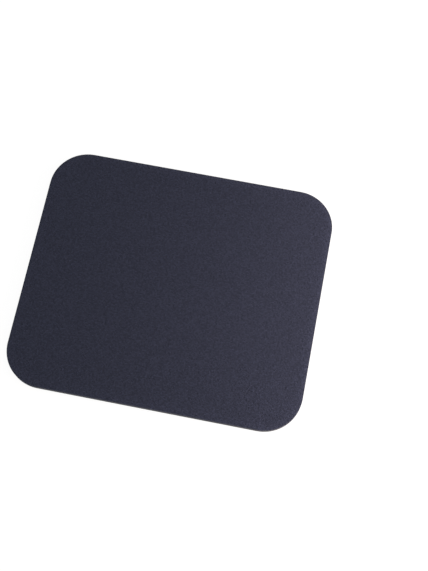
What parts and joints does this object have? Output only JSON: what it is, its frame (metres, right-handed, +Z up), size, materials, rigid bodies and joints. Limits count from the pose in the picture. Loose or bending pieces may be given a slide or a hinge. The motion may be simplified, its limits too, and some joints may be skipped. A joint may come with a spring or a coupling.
{
  "type": "mouse pad",
  "caption": "Flat cloth-faced mouse pad with large rounded corners: knitted cloth bonded to foam rubber that grips the desk.",
  "frame": {"origin": "middle of the underside, on the surface that the pad lies on", "axes": "+X along the long side, to the right of a person at the desk; +Y away from that person; +Z up, out of the cloth face"},
  "size_m": [0.235, 0.2, 0.006],
  "materials": {
    "knitted_cloth": "matte",
    "adhesive_film": "satin",
    "foam_rubber": "matte"
  },
  "bodies": {
    "root": {"cloth_face": "knitted_cloth", "bond_film": "adhesive_film", "foam_base": "foam_rubber"}
  },
  "joints": []
}
